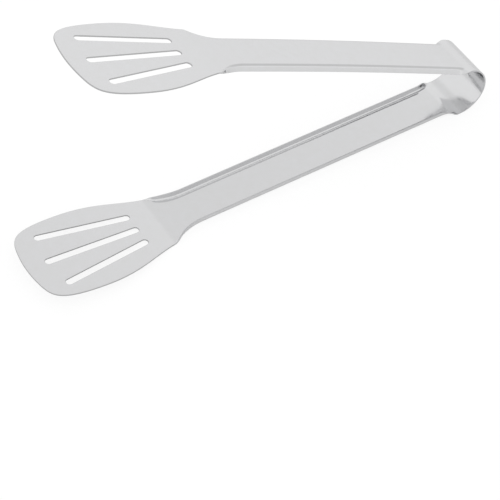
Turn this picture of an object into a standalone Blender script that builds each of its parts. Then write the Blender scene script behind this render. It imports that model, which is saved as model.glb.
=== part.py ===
# Serving tongs pressed and folded from one strip of stainless sheet: a slotted blade, a
# channel arm, the spring bow, a second arm and a second blade. The tongs lie on their lower
# arm, opened as they spring when nobody squeezes them. X runs along the lower arm towards the
# bow, Y across the strip and Z up. The origin is under the middle of the whole part.
import math

import bpy
import bmesh
import numpy as np
from mathutils import Matrix, Vector

# Sizes, in metres and radians.
SHEET_THICKNESS = 0.0007
SEAM_GAP = 0.0003

# Arms: channel section, its flanges folded towards the other arm.
ARM_LENGTH = 0.1472
ARM_WIDTH = 0.0202
STRIP_WIDTH = 0.0239
FOLD_RADIUS = 0.0016
FLANGE_ANGLE = math.radians(86.0)
NECK_RUNOUT_LENGTH = 0.0181
NECK_FLARE_LENGTH = 0.0178
NECK_FLARE_ANGLE = math.radians(11.9)
BOW_RUNOUT_LENGTH = 0.0084
LEAST_FOLD_SHARE = 0.05

# Bow: a round loop that swells past the outer faces of the arms.
BOW_RADIUS = 0.01263
BOW_SWELL = 0.0006
SWELL_RADIUS = 0.0115
OPENING_ANGLE = math.radians(26.85)

# Blades: flat, bent inwards at the neck.
BLADE_LENGTH = 0.0645
BLADE_WIDTH = 0.0460
NECK_WIDTH = 0.0303
BLADE_BEND = math.radians(5.75)
NECK_RADIUS = 0.0150

# Drain slots: one along the middle of the blade and one fanned out on each side of it.
SLOT_WIDTH = 0.0033
SLOT_START = 0.0094
MIDDLE_SLOT_TIP_WALL = 0.00915
SIDE_SLOT_TIP_WALL = 0.0110
SIDE_SLOT_OFFSET = 0.0083
SIDE_SLOT_FAN = math.radians(8.7)

# Half outline of a blade from the neck to the tip: each knot's place, then its handles, as
# shares of the blade's length and of its half width. The neck knot takes its width from the
# neck itself.
WIDEST_KNOT_SHARES = ((0.315, 1.0), (0.58, 1.0), (0.88, 1.0))
CORNER_KNOT_SHARES = ((0.935, 0.865), (0.9675, 0.645), (0.984, 0.51))
TIP_KNOT_SHARES = ((1.0, 0.25), (1.0, 0.0), (1.0, -0.25))
NECK_HANDLE_SHARE = 0.185

# Counts of flat faces along the curved stretches.
OUTLINE_STEPS = 10
SLOT_END_STEPS = 8
FOLD_STEPS = 6
NECK_BEND_STEPS = 4
NECK_RUNOUT_STEPS = 14
ARM_STEPS = 6
BOW_RUNOUT_STEPS = 14
BOW_STEPS = 36

# What follows from the sizes above.
HALF_SHEET = SHEET_THICKNESS / 2
HALF_STRIP = STRIP_WIDTH / 2
HALF_NECK = NECK_WIDTH / 2
HALF_OPENING = OPENING_ANGLE / 2
FOLD_START = ARM_WIDTH / 2 - HALF_SHEET - FOLD_RADIUS
BENT_SHARE = FOLD_RADIUS * FLANGE_ANGLE / (HALF_STRIP - FOLD_START)
SWELL_ANGLE = math.acos(1 - BOW_SWELL / (BOW_RADIUS + SWELL_RADIUS))
NECK_BEND_LENGTH = NECK_RADIUS * BLADE_BEND
SWELL_LENGTH = SWELL_RADIUS * SWELL_ANGLE
FOOT_LENGTH = BOW_RADIUS * SWELL_ANGLE
ARM_PATH_LENGTH = NECK_BEND_LENGTH + ARM_LENGTH + SWELL_LENGTH + FOOT_LENGTH
BOW_TURN = math.pi - OPENING_ANGLE


def clear_scene():
    for thing in list(bpy.data.objects):
        bpy.data.objects.remove(thing, do_unlink=True)


def smooth_step(value, start, end):
    share = min(max((value - start) / (end - start), 0.0), 1.0)
    return share * share * (3.0 - 2.0 * share)


def steel_material(name, roughness):
    material = bpy.data.materials.new(name)
    material.use_nodes = True
    shader = material.node_tree.nodes["Principled BSDF"]
    shader.inputs["Base Color"].default_value = (0.70, 0.70, 0.71, 1.0)
    shader.inputs["Metallic"].default_value = 1.0
    shader.inputs["Roughness"].default_value = roughness
    return material


def path_stretches():
    """The middle of the sheet seen from the side, from the neck to the foot of the bow.

    Each stretch is its length and its curvature, which is positive where the sheet turns up.
    """
    return (
        (NECK_BEND_LENGTH, 1 / NECK_RADIUS),
        (ARM_LENGTH, 0.0),
        (SWELL_LENGTH, -1 / SWELL_RADIUS),
        (FOOT_LENGTH, 1 / BOW_RADIUS),
    )


def path_point(distance):
    """Place and heading in the side view at a distance along the sheet from the neck seam."""
    x, z, heading = 0.0, 0.0, -BLADE_BEND
    left = distance
    for length, curvature in path_stretches():
        run = min(left, length)
        turned = heading + run * curvature
        if curvature:
            x += (math.sin(turned) - math.sin(heading)) / curvature
            z += (math.cos(heading) - math.cos(turned)) / curvature
        else:
            x += run * math.cos(heading)
            z += run * math.sin(heading)
        heading = turned
        left -= run
    return x, z, heading


def bow_centre():
    """Axis of the bow in the side view, straight above the foot of the bow."""
    x, z, _ = path_point(ARM_PATH_LENGTH)
    return x, z + BOW_RADIUS


def squeeze_pivot():
    """Centroid of the bow's arc, about which a bow bent by a squeeze turns its ends."""
    x, z = bow_centre()
    half_turn = BOW_TURN / 2
    reach = BOW_RADIUS * math.sin(half_turn) / half_turn
    return x + reach * math.cos(HALF_OPENING), z - reach * math.sin(HALF_OPENING)


def rest_angle():
    """Lean of the lower arm that lets the neck and the bow touch the table together."""
    neck_x, neck_z, _ = path_point(NECK_BEND_LENGTH)
    bow_x, bow_z = bow_centre()
    neck_outer = NECK_RADIUS + HALF_SHEET
    bow_outer = BOW_RADIUS + HALF_SHEET
    run = bow_x - neck_x
    rise = bow_z - (neck_z + NECK_RADIUS)
    span = math.hypot(run, rise)
    return math.acos((bow_outer - neck_outer) / span) - math.atan2(run, rise)


def half_width(distance):
    """Half of the flat strip's width, which flares into the blade's outline at the neck."""
    share = min(distance / NECK_FLARE_LENGTH, 1.0)
    stays = (1.0 + 2.0 * share) * (1.0 - share) ** 2
    slides = share * (1.0 - share) ** 2
    flare = NECK_FLARE_LENGTH * math.tan(NECK_FLARE_ANGLE)
    return HALF_STRIP + (HALF_NECK - HALF_STRIP) * stays - flare * slides


def fold_share(distance):
    """How much of the full flange there is: next to none at either end of the arm."""
    rises = math.sin(math.pi / 2 * min(distance / NECK_RUNOUT_LENGTH, 1.0))
    falls = smooth_step(distance, ARM_PATH_LENGTH - BOW_RUNOUT_LENGTH, ARM_PATH_LENGTH)
    return max(rises * (1.0 - falls), LEAST_FOLD_SHARE)


def half_section(distance):
    """Half of the folded section's middle line, as places across and inwards from the web."""
    share = fold_share(distance)
    width = half_width(distance)
    folded = (width - FOLD_START) * share
    start = width - folded
    angle = FLANGE_ANGLE * min(1.0, 2.0 * share)
    bent = folded * BENT_SHARE
    radius = bent / angle
    points = []
    for step in range(FOLD_STEPS + 1):
        turn = angle * step / FOLD_STEPS
        points.append((start + radius * math.sin(turn), radius * (1 - math.cos(turn))))
    across, inwards = points[-1]
    straight = folded - bent
    points.append((across + straight * math.cos(angle), inwards + straight * math.sin(angle)))
    return points


def arm_stations():
    """Distances along the arm at which its section is set, closer where it changes."""
    swell = NECK_BEND_LENGTH + ARM_LENGTH
    bow_runout = min(swell, ARM_PATH_LENGTH - BOW_RUNOUT_LENGTH)
    stretches = (
        (SEAM_GAP / 2, NECK_BEND_LENGTH, NECK_BEND_STEPS),
        (NECK_BEND_LENGTH, NECK_RUNOUT_LENGTH, NECK_RUNOUT_STEPS),
        (NECK_RUNOUT_LENGTH, bow_runout, ARM_STEPS),
        (bow_runout, ARM_PATH_LENGTH - SEAM_GAP / 2, BOW_RUNOUT_STEPS),
    )
    stations = [stretches[0][0]]
    for start, end, steps in stretches:
        stations += list(np.linspace(start, end, steps + 1)[1:])
    return [float(station) for station in stations]


def sheet_modifier(thing):
    solid = thing.modifiers.new("sheet", "SOLIDIFY")
    solid.thickness = SHEET_THICKNESS
    solid.offset = 0.0
    solid.use_even_offset = True
    solid.use_rim = True


def grid_mesh(name, rows):
    """A mesh whose faces join each row of points to the next."""
    shape = bmesh.new()
    lines = [[shape.verts.new(point) for point in row] for row in rows]
    for first, second in zip(lines, lines[1:]):
        for left, right in zip(range(len(first) - 1), range(1, len(first))):
            shape.faces.new((first[left], second[left], second[right], first[right]))
    bmesh.ops.recalc_face_normals(shape, faces=shape.faces)
    mesh = bpy.data.meshes.new(name)
    shape.to_mesh(mesh)
    shape.free()
    mesh.shade_smooth()
    mesh.set_sharp_from_angle(angle=math.radians(40.0))
    return mesh


def arm_mesh():
    """The channel arm: its folded section carried along the side view's path."""
    rows = []
    for distance in arm_stations():
        x, z, heading = path_point(distance)
        inward = Vector((-math.sin(heading), 0.0, math.cos(heading)))
        half = half_section(distance)
        section = [(-across, up) for across, up in reversed(half)] + half
        centre = Vector((x, 0.0, z))
        rows.append([centre + Vector((0.0, across, 0.0)) + inward * up for across, up in section])
    return grid_mesh("channel_arm", rows)


def bow_mesh():
    """An edge across the strip, straight under the bow's axis, for a Screw to turn."""
    mesh = bpy.data.meshes.new("bow_strip")
    shape = bmesh.new()
    ends = [shape.verts.new((0.0, side * HALF_STRIP, -BOW_RADIUS)) for side in (-1, 1)]
    shape.edges.new(ends)
    shape.to_mesh(mesh)
    shape.free()
    return mesh


def blade_outline(curve):
    """The blade's outline, from the neck round the tip and back, as one smooth spline."""
    half_blade = BLADE_WIDTH / 2

    def placed(share, side):
        return Vector((-BLADE_LENGTH * share[0], side * half_blade * share[1], 0.0))

    neck = Vector((0.0, HALF_NECK, 0.0))
    reach = BLADE_LENGTH * NECK_HANDLE_SHARE
    neck_handle = neck + reach * Vector((-1.0, math.tan(NECK_FLARE_ANGLE), 0.0))
    flip = Vector((1.0, -1.0, 1.0))
    knots = [(neck, neck, neck_handle)]
    for shares in (WIDEST_KNOT_SHARES, CORNER_KNOT_SHARES, TIP_KNOT_SHARES):
        before, at, after = (placed(share, 1.0) for share in shares)
        knots.append((before, at, after))
    back = [tuple(point * flip for point in reversed(knot)) for knot in reversed(knots[:-1])]
    knots += back
    spline = curve.splines.new("BEZIER")
    spline.bezier_points.add(len(knots) - 1)
    spline.use_cyclic_u = True
    spline.resolution_u = OUTLINE_STEPS
    for knot, (before, at, after) in zip(spline.bezier_points, knots):
        knot.handle_left_type = knot.handle_right_type = "FREE"
        knot.handle_left, knot.co, knot.handle_right = before, at, after


def slot_outline(curve, tip_wall, offset, fan):
    """A round-ended slot that starts SLOT_START from the neck and leans outwards by fan."""
    radius = SLOT_WIDTH / 2
    length = BLADE_LENGTH - SLOT_START - tip_wall
    spline = curve.splines.new("POLY")
    points = []
    first = Vector((-SLOT_START - radius * math.cos(fan), offset, 0.0))
    along = Vector((-math.cos(fan), math.sin(fan), 0.0))
    second = first + along * (length - SLOT_WIDTH)
    for centre, turn in ((first, 0.0), (second, math.pi)):
        for step in range(SLOT_END_STEPS + 1):
            angle = turn - fan + math.pi * (step / SLOT_END_STEPS - 0.5)
            points.append(centre + radius * Vector((math.cos(angle), math.sin(angle), 0.0)))
    spline.points.add(len(points) - 1)
    for point, place in zip(spline.points, points):
        point.co = (place.x, place.y, place.z, 1.0)
    spline.use_cyclic_u = True


def blade_curve():
    """The flat blade with its three slots, its neck edge on the Y axis."""
    curve = bpy.data.curves.new("slotted_blade", "CURVE")
    curve.dimensions = "2D"
    curve.fill_mode = "BOTH"
    curve.extrude = HALF_SHEET
    blade_outline(curve)
    slot_outline(curve, MIDDLE_SLOT_TIP_WALL, 0.0, 0.0)
    for side in (-1, 1):
        slot_outline(curve, SIDE_SLOT_TIP_WALL, side * SIDE_SLOT_OFFSET, side * SIDE_SLOT_FAN)
    return curve


def add_object(collection, name, data, material, parent):
    thing = bpy.data.objects.new(name, data)
    if not data.materials:
        data.materials.append(material)
    collection.objects.link(thing)
    thing.parent = parent
    return thing


def add_empty(collection, name, place, parent=None):
    empty = bpy.data.objects.new(name, None)
    empty.empty_display_size = BOW_RADIUS
    collection.objects.link(empty)
    empty.parent = parent
    empty.location = place
    return empty


def half_turn_about_bisector():
    """The upper half is the lower half turned over about the line that halves the opening."""
    x, z = bow_centre()
    axis = Vector((math.cos(HALF_OPENING), 0.0, -math.sin(HALF_OPENING)))
    there = Matrix.Translation((x, 0.0, z))
    return there @ Matrix.Rotation(math.pi, 4, axis) @ there.inverted()


def world_corners(things):
    graph = bpy.context.evaluated_depsgraph_get()
    places = []
    for thing in things:
        seen = thing.evaluated_get(graph)
        mesh = seen.to_mesh()
        places += [seen.matrix_world @ vertex.co for vertex in mesh.vertices]
        seen.to_mesh_clear()
    spots = np.array(places)
    return spots.min(axis=0), spots.max(axis=0)


def stand_on_origin(frame, things):
    """Moves the whole part so that the origin is at the middle of its box's underside."""
    bpy.context.view_layer.update()
    low, high = world_corners(things)
    frame.location -= Vector(((low[0] + high[0]) / 2, (low[1] + high[1]) / 2, low[2]))


def build_tongs():
    collection = bpy.data.collections.new("serving_tongs")
    bpy.context.scene.collection.children.link(collection)
    frame = add_empty(collection, "rest_frame", (0.0, 0.0, 0.0))
    frame.rotation_euler = (0.0, rest_angle(), 0.0)
    pivot_x, pivot_z = squeeze_pivot()
    pivot = Vector((pivot_x, 0.0, pivot_z))
    hinge = add_empty(collection, "squeeze_hinge", pivot, frame)

    arm_steel = steel_material("arm_steel", 0.28)
    blade_steel = steel_material("blade_steel", 0.30)
    bow_steel = steel_material("bow_steel", 0.16)
    arm, blade = arm_mesh(), blade_curve()
    lean = Matrix.Rotation(BLADE_BEND, 4, "Y") @ Matrix.Translation((SEAM_GAP / -2, 0.0, 0.0))
    to_hinge = Matrix.Translation(-pivot) @ half_turn_about_bisector()

    lower_arm = add_object(collection, "lower_arm", arm, arm_steel, frame)
    lower_blade = add_object(collection, "lower_blade", blade, blade_steel, frame)
    lower_blade.matrix_local = lean
    upper_arm = add_object(collection, "upper_arm", arm, arm_steel, hinge)
    upper_arm.matrix_local = to_hinge
    upper_blade = add_object(collection, "upper_blade", blade, blade_steel, hinge)
    upper_blade.matrix_local = to_hinge @ lean
    for thing in (lower_arm, upper_arm):
        sheet_modifier(thing)

    gap_angle = SEAM_GAP / 2 / BOW_RADIUS
    bow = add_object(collection, "spring_bow", bow_mesh(), bow_steel, frame)
    centre_x, centre_z = bow_centre()
    bow.location = (centre_x, 0.0, centre_z)
    bow.rotation_euler = (0.0, -gap_angle, 0.0)
    screw = bow.modifiers.new("turn", "SCREW")
    screw.axis = "Y"
    screw.angle = -(BOW_TURN - 2 * gap_angle)
    screw.steps = screw.render_steps = BOW_STEPS
    screw.merge_threshold = 0.0
    sheet_modifier(bow)

    stand_on_origin(frame, (lower_arm, lower_blade, upper_arm, upper_blade, bow))


clear_scene()
build_tongs()
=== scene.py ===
# One-piece serving tongs of satin stainless sheet, sprung open on a white table.
import math

import bmesh
import bpy
import numpy as np
from mathutils import Matrix, Vector


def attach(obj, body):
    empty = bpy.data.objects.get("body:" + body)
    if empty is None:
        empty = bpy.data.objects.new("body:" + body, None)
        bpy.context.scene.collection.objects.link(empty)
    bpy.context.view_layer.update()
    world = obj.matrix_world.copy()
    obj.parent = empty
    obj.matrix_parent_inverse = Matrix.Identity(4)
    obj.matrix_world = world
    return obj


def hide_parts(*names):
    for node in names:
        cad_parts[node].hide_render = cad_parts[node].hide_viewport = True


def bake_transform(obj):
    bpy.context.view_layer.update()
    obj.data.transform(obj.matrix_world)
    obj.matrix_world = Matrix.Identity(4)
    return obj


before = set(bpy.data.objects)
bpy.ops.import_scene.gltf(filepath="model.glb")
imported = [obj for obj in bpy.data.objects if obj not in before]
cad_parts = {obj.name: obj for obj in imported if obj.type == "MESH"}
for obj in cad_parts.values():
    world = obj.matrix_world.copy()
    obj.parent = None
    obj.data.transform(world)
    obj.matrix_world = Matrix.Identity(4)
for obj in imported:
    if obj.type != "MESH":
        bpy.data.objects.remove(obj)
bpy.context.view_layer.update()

# Lengths are in metres and angles in degrees, apart from the seat's lean in radians and the
# lens and its sensor in millimetres. Rows, columns and steps say how fine the grids are.
# The shading breaks where faces meet at more than the sharp angle.
sheet = {"thickness": 0.0007, "rimRadius": 0.00016, "rimSteps": 4, "sharpAngle": 60.0}

seat = {"lean": -0.00393306, "neckX": -0.0512992, "neckZ": 0.0004195}


# A mesh that stores at every point, as stripPlace, its distance along the strip, its measure
# across it, and 1 on the cut rims or 0 on the skins.
def meshFrom(name, points, faces, spots):
    mesh = bpy.data.meshes.new(name)
    mesh.from_pydata(points.tolist(), [], faces.tolist())
    layer = mesh.attributes.new("stripPlace", "FLOAT_VECTOR", "POINT")
    layer.data.foreach_set("vector", spots.astype(np.float32).ravel())
    mesh.update()
    return mesh


# One side of a sheet from rim to rim: the skin half a thickness off the middle surface along
# the normal, and at either end a quarter circle of the rim radius.
def sheetSide(middle, along, normal):
    half, radius = sheet["thickness"] / 2, sheet["rimRadius"]
    angles = np.linspace(0.0, math.pi / 2, sheet["rimSteps"] + 1)[:-1]
    rims = []
    for column, outward in ((0, -along[:, 0]), (-1, along[:, -1])):
        base, up = middle[:, column], normal[:, column]
        rim = []
        for angle in angles:
            out = outward * (radius * math.cos(angle))
            rim.append(base + out + up * (half - radius + radius * math.sin(angle)))
        rims.append(rim)
    skin = middle + normal * half
    columns = rims[0] + [skin[:, i] for i in range(skin.shape[1])] + rims[1][::-1]
    return np.stack(columns, axis=1)


# A closed sheet from its middle surface: both sides joined into rings, one ring for each row,
# with the first and the last ring capped by quads from the upper side to the lower one.
def sheetMesh(name, middle, along, normal, place):
    upper, lower = sheetSide(middle, along, normal), sheetSide(middle, along, -normal)
    rows, count = upper.shape[:2]
    points = np.concatenate([upper, lower[:, ::-1]], axis=1)
    ring = np.arange(2 * rows * count).reshape(rows, 2 * count)
    beside = np.roll(ring, -1, axis=1)
    sides = np.stack([ring[:-1], ring[1:], beside[1:], beside[:-1]], axis=-1)
    faces = [sides.reshape(-1, 4)]
    for row, flip in ((0, False), (-1, True)):
        over, under = ring[row, :count], ring[row, ::-1][:count]
        cap = np.stack([over[:-1], over[1:], under[1:], under[:-1]], axis=-1)
        faces.append(cap[:, ::-1] if flip else cap)
    rims = ((0, 0), (sheet["rimSteps"], sheet["rimSteps"]), (0, 0))
    cut = np.pad(np.zeros(place.shape[:2] + (1,)), rims, constant_values=1.0)
    spots = np.concatenate([np.pad(place, rims, mode="edge"), cut], axis=2)
    spots = np.concatenate([spots, spots[:, ::-1]], axis=1)
    return meshFrom(name, points.reshape(-1, 3), np.concatenate(faces), spots.reshape(-1, 3))


# The turn lead makes the flange's angle grow sooner at the neck than its width does. The fine
# rows go a little past the run-outs, by pastNeck and pastBow.
arm = {
    "length": 0.1472,
    "width": 0.0202,
    "strip": 0.0239,
    "camber": 0.0007,
    "foldRadius": 0.0016,
    "flangeAngle": 86.0,
    "neckRunout": 0.0181,
    "bowRunout": 0.0060,
    "bowOpening": 0.0100,
    "widthLead": 1.0,
    "turnLead": 2.0,
    "leastFold": 0.05,
    "flareLength": 0.0178,
    "flareAngle": 11.9,
    "pastNeck": 0.004,
    "pastBow": 0.002,
    "neckRows": 76,
    "middleRows": 40,
    "bowRows": 64,
    "webColumns": 20,
    "foldColumns": 12,
    "flangeColumns": 3,
}


# The side view's stretches from the blade to the bow, each with its length and curvature: the
# neck's bend, the straight arm and the swell's two arcs. The arcs turn by the arc cosine of
# one less the swell over the sum of their radii.
def pathStretches():
    turn = math.acos(1 - bow["swell"] / (bow["radius"] + bow["swellRadius"]))
    return (
        (blade["neckRadius"] * math.radians(blade["bend"]), 1 / blade["neckRadius"]),
        (arm["length"], 0.0),
        (bow["swellRadius"] * turn, -1 / bow["swellRadius"]),
        (bow["radius"] * turn, 1 / bow["radius"]),
    )


# Length of the whole path: its stretches added up.
def pathLength():
    return sum(stretch[0] for stretch in pathStretches())


# Distance along the strip to its side view: the stretches laid end to end, each turning the
# heading by its length times its curvature.
def sidePath(distance):
    heading = np.full_like(distance, -math.radians(blade["bend"]))
    x, z, left = np.zeros_like(distance), np.zeros_like(distance), distance.copy()
    for length, curvature in pathStretches():
        run = np.clip(left, 0.0, length)
        turned = heading + run * curvature
        if curvature:
            x += (np.sin(turned) - np.sin(heading)) / curvature
            z += (np.cos(heading) - np.cos(turned)) / curvature
        else:
            x += run * np.cos(heading)
            z += run * np.sin(heading)
        heading = turned
        left = left - run
    return x, z, heading


# Smooth step: three times the share squared less twice its cube.
def smoothStep(value, start, end):
    share = np.clip((value - start) / (end - start), 0.0, 1.0)
    return share * share * (3 - 2 * share)


# Half of the flat strip's width: a cubic that leaves the neck at the flare's angle and
# meets the even strip with no slope.
def halfStrip(distance):
    share = np.minimum(distance / arm["flareLength"], 1.0)
    stays = (1 + 2 * share) * (1 - share) ** 2
    slides = share * (1 - share) ** 2
    flare = arm["flareLength"] * math.tan(math.radians(arm["flareAngle"]))
    even = arm["strip"] / 2
    return even + (blade["neckWidth"] / 2 - even) * stays - flare * slides


# Share of the full fold: a quarter sine wave from the neck, times its lead and never more
# than 1, then a smooth step down over the last stretch to the bow, down to the least fold.
def foldShare(distance, lead, lastStretch):
    rises = np.sin(math.pi / 2 * np.minimum(distance / arm["neckRunout"], 1.0))
    end = pathLength()
    falls = smoothStep(distance, end - lastStretch, end)
    return np.maximum(np.minimum(lead * rises, 1.0) * (1 - falls), arm["leastFold"])


# Half of the folded sheet's middle, from distances along the strip and from shares across its
# web, fold and flange: the measure across the flat strip, the place across and up, and the
# angle turned. The web is flat, the fold an arc and the flange straight.
def armMiddle(distance, shares):
    half = halfStrip(distance)[:, None]
    foldAt = arm["width"] / 2 - sheet["thickness"] / 2 - arm["foldRadius"]
    flangeAngle = math.radians(arm["flangeAngle"])
    bentShare = arm["foldRadius"] * flangeAngle / (arm["strip"] / 2 - foldAt)
    folded = (half - foldAt) * foldShare(distance, arm["widthLead"], arm["bowRunout"])[:, None]
    turned = flangeAngle * foldShare(distance, arm["turnLead"], arm["bowOpening"])[:, None]
    start = half - folded
    bent = folded * bentShare
    radius = bent / turned
    reach = folded - sheet["rimRadius"]
    web, fold, flange = shares
    onFold = start + reach * bentShare * fold
    onFlange = start + reach * (bentShare + (1 - bentShare) * flange)
    across = np.hstack([start * web, onFold, onFlange])
    angle = np.clip((across - start) / bent, 0.0, 1.0) * turned
    straight = np.maximum(across - start - bent, 0.0)
    y = np.minimum(across, start) + radius * np.sin(angle) + straight * np.cos(angle)
    up = radius * (1 - np.cos(angle)) + straight * np.sin(angle)
    return across, y, up, angle


# The arm: its folded section, mirrored about the middle line, carried along the side view's
# path, which the camber bows outwards by half a sine wave.
def armSheet(name, camber):
    end = pathLength()
    neckEnd = arm["neckRunout"] + arm["pastNeck"]
    bowStart = end - arm["bowOpening"] - arm["pastBow"]
    distance = np.concatenate([
        np.linspace(0.0, neckEnd, arm["neckRows"], endpoint=False),
        np.linspace(neckEnd, bowStart, arm["middleRows"], endpoint=False),
        np.linspace(bowStart, end, arm["bowRows"]),
    ])
    shares = (
        np.linspace(0.0, 1.0, arm["webColumns"] + 1),
        np.linspace(0.0, 1.0, arm["foldColumns"] + 1)[1:],
        np.linspace(0.0, 1.0, arm["flangeColumns"] + 1)[1:],
    )
    across, y, up, angle = armMiddle(distance, shares)
    x, z, heading = sidePath(distance)
    wave = math.pi * distance / end
    x = x + camber * np.sin(wave) * np.sin(heading)
    z = z - camber * np.sin(wave) * np.cos(heading)
    heading = heading - camber * math.pi / end * np.cos(wave)

    # The far half, times the sign, beside the near one; the middle column is kept once.
    def bothSides(values, sign):
        return np.hstack([sign * values[:, :0:-1], values])

    across, y = bothSides(across, -1), bothSides(y, -1)
    up, angle = bothSides(up, 1), bothSides(angle, 1)
    inX, inZ = -np.sin(heading)[:, None], np.cos(heading)[:, None]
    rise, spread = np.sign(y) * np.sin(angle), np.cos(angle)
    middle = np.stack([x[:, None] + inX * up, y, z[:, None] + inZ * up], axis=-1)
    along = np.stack([inX * rise, spread, inZ * rise], axis=-1)
    normal = np.stack([inX * spread, -rise, inZ * spread], axis=-1)
    place = np.stack([np.broadcast_to(distance[:, None], across.shape), across], axis=-1)
    return sheetMesh(name, middle, along, normal, place)


bow = {
    "radius": 0.01263,
    "swell": 0.0006,
    "swellRadius": 0.0115,
    "opening": 26.85,
    "rows": 128,
    "columns": 28,
}


# The bow's axis in the side view: one bow radius straight in from the end of the path.
def bowCentre():
    x, z = sidePath(np.array([pathLength()]))[:2]
    return float(x[0]), float(z[0]) + bow["radius"]


# The bow: a straight line across the strip turned about the bow's axis.
def bowSheet(name):
    radius = bow["radius"]
    turn = np.linspace(0.0, math.pi - math.radians(bow["opening"]), bow["rows"])
    reach = arm["strip"] / 2 - sheet["rimRadius"]
    x, z = bowCentre()
    grid = np.ones((bow["rows"], bow["columns"]))
    y = np.linspace(-reach, reach, bow["columns"])[None] * grid
    sine, cosine = np.sin(turn)[:, None] * grid, np.cos(turn)[:, None] * grid
    middle = np.stack([x + radius * sine, y, z - radius * cosine], axis=-1)
    along = np.stack([0 * grid, grid, 0 * grid], axis=-1)
    normal = np.stack([-sine, 0 * grid, cosine], axis=-1)
    place = np.stack([pathLength() + radius * turn[:, None] * grid, y], axis=-1)
    return sheetMesh(name, middle, along, normal, place)


# The knots of the outline are shares of the length and of half the width, in threes: the
# handle before, the knot and the handle after. Tip walls are left between slots and tip.
blade = {
    "length": 0.0645,
    "width": 0.0460,
    "neckWidth": 0.0303,
    "bend": 5.75,
    "neckRadius": 0.0150,
    "neckHandleShare": 0.185,
    "widestShares": ((0.315, 1.0), (0.58, 1.0), (0.88, 1.0)),
    "cornerShares": ((0.935, 0.865), (0.9675, 0.645), (0.984, 0.51)),
    "tipShares": ((1.0, 0.25), (1.0, 0.0), (1.0, -0.25)),
    "curveSteps": 40,
    "slotWidth": 0.0033,
    "slotStart": 0.0094,
    "middleTipWall": 0.00915,
    "sideTipWall": 0.0110,
    "sideOffset": 0.0083,
    "sideFan": 8.7,
    "slotEndSteps": 20,
}


# Cubic curve: the four knots weighted by the cubes and products of the share and its rest.
def cubicCurve(knots, steps):
    share = np.linspace(0.0, 1.0, steps + 1)[:-1, None]
    a, b, c, d = (np.array(knot, dtype=float)[None] for knot in knots)
    rest = 1 - share
    return a * rest**3 + 3 * b * share * rest**2 + 3 * c * share**2 * rest + d * share**3


# Blade outline from one neck corner round the tip to the other: cubic curves from knot to
# knot along one side, and the same mirrored. They leave the neck at the flare's angle.
def bladeOutline():
    half, length = blade["width"] / 2, blade["length"]
    neck = np.array([0.0, blade["neckWidth"] / 2])
    slope = math.tan(math.radians(arm["flareAngle"]))
    handle = neck + length * blade["neckHandleShare"] * np.array([-1.0, slope])
    knots = [(neck, neck, handle)]
    for shares in (blade["widestShares"], blade["cornerShares"], blade["tipShares"]):
        knots.append([np.array([-length * along, half * side]) for along, side in shares])
    curves = [
        cubicCurve((one[1], one[2], two[0], two[1]), blade["curveSteps"])
        for one, two in zip(knots, knots[1:])
    ]
    left = np.concatenate(curves + [knots[-1][1][None]])
    return np.concatenate([left, (left * [1.0, -1.0])[::-1][1:]])


# A slot: two half circles joined by straight sides, leaning outwards by its fan.
def slotOutline(tipWall, offset, fan):
    radius = blade["slotWidth"] / 2
    lean = math.radians(fan)
    heading = np.array([-math.cos(lean), math.sin(lean)])
    first = np.array([-blade["slotStart"] - radius * math.cos(lean), offset])
    run = blade["length"] - blade["slotStart"] - tipWall - blade["slotWidth"]
    halfCircle = math.pi * (np.linspace(0.0, 1.0, blade["slotEndSteps"] + 1) - 0.5)
    ends = []
    for centre, turn in ((first, 0.0), (first + heading * run, math.pi)):
        angle = turn - lean + halfCircle
        ends.append(centre + radius * np.stack([np.cos(angle), np.sin(angle)], axis=-1))
    return np.concatenate(ends)


# Directions square to a flat line of points, away from the metal on its left.
def lineNormals(points, closed):
    if closed:
        run = np.roll(points, -1, axis=0) - np.roll(points, 1, axis=0)
    else:
        run = np.gradient(points, axis=0)
    run /= np.linalg.norm(run, axis=1, keepdims=True)
    return np.stack([run[:, 1], -run[:, 0]], axis=-1)


# The blade's open outline and its three closed slots, each as its points, the directions out
# of the metal and whether it is closed. At the neck they point straight across the strip.
def bladeLines():
    outline = bladeOutline()
    outward = lineNormals(outline, False)
    outward[0], outward[-1] = (0.0, 1.0), (0.0, -1.0)
    slots = [slotOutline(blade["middleTipWall"], 0.0, 0.0)]
    for side in (-1, 1):
        offset, fan = side * blade["sideOffset"], side * blade["sideFan"]
        slots.append(slotOutline(blade["sideTipWall"], offset, fan))
    return [(outline, outward, False)] + [(line, -lineNormals(line, True), True) for line in slots]


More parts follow.
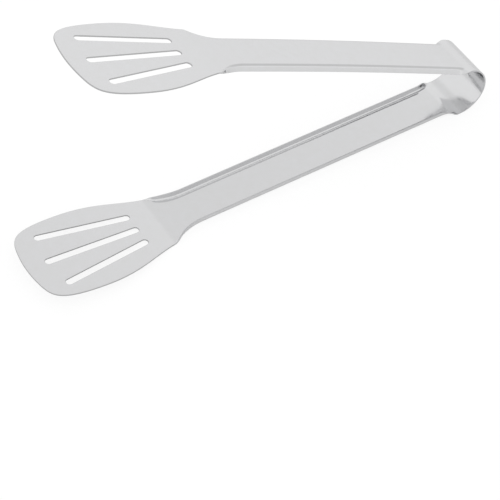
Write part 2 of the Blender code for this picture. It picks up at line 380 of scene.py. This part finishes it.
# The blade: flat skins with three slots, and rims that round over along every edge but the
# neck's, where the arm goes on. It tilts inwards from the neck by the bend.
def bladeSheet(name):
    half, radius = sheet["thickness"] / 2, sheet["rimRadius"]
    angles = np.linspace(0.0, math.pi / 2, sheet["rimSteps"] + 1)
    points, faces, cuts, loops, start = [], [], [], [], 0
    for line, outward, closed in bladeLines():
        rim, cut = [], []
        for sign in (1, -1):
            for angle in angles[::-sign]:
                flat = line - outward * (radius - radius * math.cos(angle))
                height = sign * (half - radius + radius * math.sin(angle))
                rim.append(np.hstack([flat, np.full((len(line), 1), height)]))
                cut.append(np.full(len(line), float(angle < angles[-1])))
        rim = np.stack(rim, axis=1)
        index = start + np.arange(rim.shape[0] * rim.shape[1]).reshape(rim.shape[:2])
        start += index.size
        before = index if closed else index[:-1]
        after = np.roll(index, -1, axis=0) if closed else index[1:]
        quads = [before[:, :-1], after[:, :-1], after[:, 1:], before[:, 1:]]
        faces.append(np.stack(quads, axis=-1).reshape(-1, 4))
        points.append(rim.reshape(-1, 3))
        cuts.append(np.stack(cut, axis=1).ravel())
        loops.append((index[:, 0], index[:, -1]))
        if not closed:
            one, two = index[0], index[-1]
            neckCap = np.stack([one[:-1], one[1:], two[1:], two[:-1]], axis=-1)
    points = np.concatenate(points)
    spots = np.column_stack([points[:, :2], np.concatenate(cuts)])
    mesh = meshFrom(name, points, np.concatenate(faces + [neckCap]), spots)
    fillSkins(mesh, loops)
    mesh.transform(Matrix.Rotation(math.radians(blade["bend"]), 4, "Y"))
    return mesh


# Fills the skin between the outline and the slots on either side of the sheet. The skins stay
# flat shaded, and the rims are smooth.
def fillSkins(mesh, loops):
    body = bmesh.new()
    body.from_mesh(mesh)
    body.verts.ensure_lookup_table()
    for which in (0, 1):
        edges = []
        for loop in loops:
            line = [body.verts[int(i)] for i in loop[which]]
            for pair in zip(line, line[1:] + line[:1]):
                edges.append(body.edges.get(pair) or body.edges.new(pair))
        made = bmesh.ops.triangle_fill(body, use_beauty=True, edges=edges)
        for item in made["geom"]:
            if isinstance(item, bmesh.types.BMFace):
                item.tag = True
    bmesh.ops.recalc_face_normals(body, faces=body.faces)
    for face in body.faces:
        face.smooth = not face.tag
    body.to_mesh(mesh)
    body.free()


# From the strip's own frame, with its neck at the origin, to the part's frame.
def toPart():
    there = Matrix.Translation((seat["neckX"], 0.0, seat["neckZ"]))
    return there @ Matrix.Rotation(seat["lean"], 4, "Y")


# The upper half is the lower half turned over about the line that halves the opening.
def halfTurn():
    x, z = bowCentre()
    half = math.radians(bow["opening"]) / 2
    there = Matrix.Translation((x, 0.0, z))
    turn = Matrix.Rotation(math.pi, 4, (math.cos(half), 0.0, -math.sin(half)))
    return there @ turn @ there.inverted()


print("shapes: functions ready")


# A shader socket whose operators add Math nodes, with the other nodes that are used twice.
class Wire:
    def __init__(self, tree, socket=None):
        self.tree, self.socket = tree, socket

    # Adds a node with its settings, its inputs wired or set, and gives one of its outputs.
    def node(self, kind, settings, inputs, output=0):
        made = self.tree.nodes.new(kind)
        for key, value in settings.items():
            setattr(made, key, value)
        for key, value in inputs.items():
            if isinstance(value, Wire):
                self.tree.links.new(value.socket, made.inputs[key])
            else:
                made.inputs[key].default_value = value
        return Wire(self.tree, made.outputs[output])

    # Adds a Math node for an operation on two values.
    def combine(self, operation, first, second):
        return self.node("ShaderNodeMath", {"operation": operation}, {0: first, 1: second})

    # Smooth step from one result, where this value is at the start, to another at the end.
    def smoothRange(self, start, end, first, last):
        limits = {"From Min": start, "From Max": end, "To Min": first, "To Max": last}
        settings = {"interpolation_type": "SMOOTHSTEP"}
        return self.node("ShaderNodeMapRange", settings, {"Value": self, **limits}, "Result")

    # Mixes two colours by this value: sockets 6 and 7 are the colours, and output 2 the mix.
    def mixColours(self, first, second):
        inputs = {0: self, 6: first, 7: second}
        return self.node("ShaderNodeMix", {"data_type": "RGBA"}, inputs, 2)

    def __add__(self, other):
        return self.combine("ADD", self, other)

    def __sub__(self, other):
        return self.combine("SUBTRACT", self, other)

    def __mul__(self, other):
        return self.combine("MULTIPLY", self, other)

    __radd__ = __add__
    __rmul__ = __mul__

    def __rsub__(self, other):
        return self.combine("SUBTRACT", other, self)


# The polish changes evenly along the strip, over polishRun, from the blade's to the arm's
# behind the neck and from the arm's to the bow's before the bow. The two tints multiply the
# colour where the clouds are darkest and lightest.
steel = {
    "colour": (0.709, 0.711, 0.718),
    "darkTint": (0.975, 0.972, 0.962),
    "lightTint": (1.020, 1.022, 1.032),
    "edge": (0.85, 0.85, 0.85, 1.0),
    "bladeRoughness": 0.17,
    "armRoughness": 0.09,
    "bowRoughness": 0.15,
    "polishRun": 0.024,
    "grainStretch": (60.0, 2600.0, 1.0),
    "grainScale": 1.0,
    "grainDetail": 3.0,
    "cloudScale": 260.0,
    "cloudDetail": 4.0,
    "noiseMiddle": 0.5,
    "grainBump": 0.06,
    "grainDepth": 0.00004,
    "cutRoughness": 0.2,
}

# Haze is how far the grain and the clouds change the roughness.
finishes = {
    "blade_steel": {"haze": 0.05, "cutColour": (0.48, 0.48, 0.485, 1.0)},
    "arm_steel": {"haze": 0.04, "cutColour": (0.56, 0.56, 0.57, 1.0)},
    "bow_steel": {"haze": 0.03, "cutColour": (0.56, 0.56, 0.57, 1.0)},
}


# Roughness along the strip: the arm's, plus a smooth step's share of the difference to the
# blade's and to the bow's.
def polish(along):
    run, bowStart, rough = steel["polishRun"], pathLength(), steel["armRoughness"]
    toBlade = steel["bladeRoughness"] - rough
    toBow = steel["bowRoughness"] - rough
    rough = rough + along.smoothRange(0.0, run, toBlade, 0.0)
    return rough + along.smoothRange(bowStart - run, bowStart, 0.0, toBow)


# Satin stainless: a fine grain drawn along the strip, over soft clouds of polish, and duller
# and darker on the cut rims.
def satinSteel(name, look):
    material = bpy.data.materials.new(name)
    material.use_nodes = True
    tree = material.node_tree
    shader = tree.nodes["Principled BSDF"]
    shader.inputs["Metallic"].default_value = 1.0
    shader.inputs["Specular Tint"].default_value = steel["edge"]
    start = Wire(tree)
    place = start.node("ShaderNodeAttribute", {"attribute_name": "stripPlace"}, {}, "Vector")
    stretch = {"Vector": place, "Scale": steel["grainStretch"]}
    drawn = start.node("ShaderNodeMapping", {}, stretch)
    fine = {"Vector": drawn, "Scale": steel["grainScale"], "Detail": steel["grainDetail"]}
    grain = start.node("ShaderNodeTexNoise", {}, fine, "Fac")
    soft = {"Vector": place, "Scale": steel["cloudScale"], "Detail": steel["cloudDetail"]}
    clouds = start.node("ShaderNodeTexNoise", {}, soft, "Fac")
    along = start.node("ShaderNodeSeparateXYZ", {}, {0: place}, 0)
    cut = start.node("ShaderNodeSeparateXYZ", {}, {0: place}, 2)
    haze, middle = look["haze"], steel["noiseMiddle"]
    rough = polish(along) + haze * (clouds - middle) + haze * (grain - middle)
    rough = rough + steel["cutRoughness"] * cut
    tree.links.new(rough.socket, shader.inputs["Roughness"])
    dark, light = (
        tuple(value * tint for value, tint in zip(steel["colour"], steel[key])) + (1.0,)
        for key in ("darkTint", "lightTint")
    )
    shade = cut.mixColours(clouds.mixColours(dark, light), look["cutColour"])
    tree.links.new(shade.socket, shader.inputs["Base Color"])
    relief = {
        "Height": grain + clouds,
        "Strength": steel["grainBump"],
        "Distance": steel["grainDepth"],
    }
    bump = start.node("ShaderNodeBump", {}, relief, "Normal")
    tree.links.new(bump.socket, shader.inputs["Normal"])
    return material


materials = {name: satinSteel(name, look) for name, look in finishes.items()}
print("materials: satin steel ready")


# Puts a mesh in its place as a piece of its slot's steel, and hides the node of the solids that it
# takes the place of.
def addPiece(mesh, matrix, slot, node):
    mesh.transform(matrix)
    mesh.update()
    mesh.materials.append(materials[slot])
    piece = bpy.data.objects.new(mesh.name + "Sheet", mesh)
    bpy.context.scene.collection.objects.link(piece)
    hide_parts(node)
    return piece


lower, upper = toPart(), toPart() @ halfTurn()
lowerBlade = addPiece(bladeSheet("lowerBlade"), lower, "blade_steel", "lower_blade")
upperBlade = addPiece(bladeSheet("upperBlade"), upper, "blade_steel", "upper_blade")
lowerArm = addPiece(armSheet("lowerArm", 0.0), lower, "arm_steel", "lower_arm")
upperArm = addPiece(armSheet("upperArm", arm["camber"]), upper, "arm_steel", "upper_arm")
springBow = addPiece(bowSheet("springBow"), lower, "bow_steel", "spring_bow")
for piece in (lowerArm, upperArm, springBow):
    piece.data.shade_smooth()
    piece.data.set_sharp_from_angle(angle=math.radians(sheet["sharpAngle"]))
for piece in (lowerBlade, lowerArm):
    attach(piece, "lower_half")
for piece in (upperBlade, upperArm):
    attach(piece, "upper_half")

# The bow's axis in the side view, and the bow with its placing baked into its points.
centreX, centreZ = bowCentre()
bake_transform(springBow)
print("pieces: five regions of the strip in place")


# The camera's place and its three directions. Each patch of the tent fades from its inner to
# its outer angle about its direction.
studio = {
    "camera": (-0.3580504, -0.5558768, 0.6998226),
    "right": (0.8524639, -0.5225170, 0.0167739),
    "down": (-0.3819360, -0.6443795, -0.6624953),
    "forward": (0.3569738, 0.5583467, -0.7488783),
    "lens": 154.916,
    "sensor": 36.0,
    "clipStart": 0.01,
    "floorSize": 3.0,
    "floorSeen": {"shade": 0.16, "glow": 0.86},
    "floorMirrored": {"shade": 0.72, "glow": 0.22},
    "tent": 1.0,
    "patches": (
        {"towards": (0.92, -0.13, 0.36), "inner": 2.0, "outer": 32.0, "light": 0.74},
        {"towards": (0.36, -0.56, 0.75), "inner": 12.0, "outer": 36.0, "light": 0.92},
        {"towards": (0.22, 0.56, 0.80), "inner": 2.0, "outer": 21.0, "light": 0.89},
    ),
}


# Matt white that also glows: one pair of strengths where the camera sees the table and
# another where the steel mirrors it.
def tableWhite():
    material = bpy.data.materials.new("tableWhite")
    material.use_nodes = True
    tree = material.node_tree
    tree.nodes.clear()
    start = Wire(tree)
    sides = []
    for look in (studio["floorMirrored"], studio["floorSeen"]):
        shade = (look["shade"],) * 3 + (1.0,)
        matt = start.node("ShaderNodeBsdfDiffuse", {}, {"Color": shade})
        glow = start.node("ShaderNodeEmission", {}, {"Strength": look["glow"]})
        sides.append(start.node("ShaderNodeAddShader", {}, {0: matt, 1: glow}))
    seen = start.node("ShaderNodeLightPath", {}, {}, "Is Camera Ray")
    both = start.node("ShaderNodeMixShader", {}, {0: seen, 1: sides[0], 2: sides[1]})
    output = tree.nodes.new("ShaderNodeOutputMaterial")
    tree.links.new(both.socket, output.inputs["Surface"])
    return material


# The table: one square under the tongs, which takes their soft shadow.
def buildTable():
    size = studio["floorSize"] / 2
    points = [(-size, -size, 0.0), (size, -size, 0.0), (size, size, 0.0), (-size, size, 0.0)]
    mesh = bpy.data.meshes.new("whiteTable")
    mesh.from_pydata(points, [], [(0, 1, 2, 3)])
    mesh.materials.append(tableWhite())
    table = bpy.data.objects.new("whiteTable", mesh)
    bpy.context.scene.collection.objects.link(table)


# The light tent: even white light, mixed with each patch's light by a smooth step of the
# cosine of the angle to the patch's direction.
def buildTent():
    world = bpy.data.worlds.new("lightTent")
    bpy.context.scene.world = world
    world.use_nodes = True
    tree = world.node_tree
    start = Wire(tree)
    back = tree.nodes["Background"]
    back.inputs["Color"].default_value = (1.0, 1.0, 1.0, 1.0)
    facing = start.node("ShaderNodeTexCoord", {}, {}, "Generated")
    light = studio["tent"]
    for patch in studio["patches"]:
        axis = np.array(patch["towards"]) / np.linalg.norm(patch["towards"])
        directions = {0: facing, 1: tuple(axis)}
        near = start.node(
            "ShaderNodeVectorMath", {"operation": "DOT_PRODUCT"}, directions, "Value"
        )
        outer, inner = (math.cos(math.radians(patch[key])) for key in ("outer", "inner"))
        light = light + (patch["light"] - light) * near.smoothRange(outer, inner, 0.0, 1.0)
    tree.links.new(light.socket, back.inputs["Strength"])


# The camera looks along its forward direction, with its right and down to the picture's.
def buildCamera():
    camera = bpy.data.objects.new("camera", bpy.data.cameras.new("camera"))
    bpy.context.scene.collection.objects.link(camera)
    right, down, forward = (np.array(studio[key]) for key in ("right", "down", "forward"))
    turn = Matrix(np.stack([right, -down, -forward], axis=1).tolist()).to_4x4()
    camera.matrix_world = Matrix.Translation(studio["camera"]) @ turn
    camera.data.sensor_width = studio["sensor"]
    camera.data.lens = studio["lens"]
    camera.data.clip_start = studio["clipStart"]
    bpy.context.scene.camera = camera


buildTable()
buildTent()
buildCamera()
bpy.context.scene.view_settings.view_transform = "Standard"
print("studio: table, light tent and camera ready")
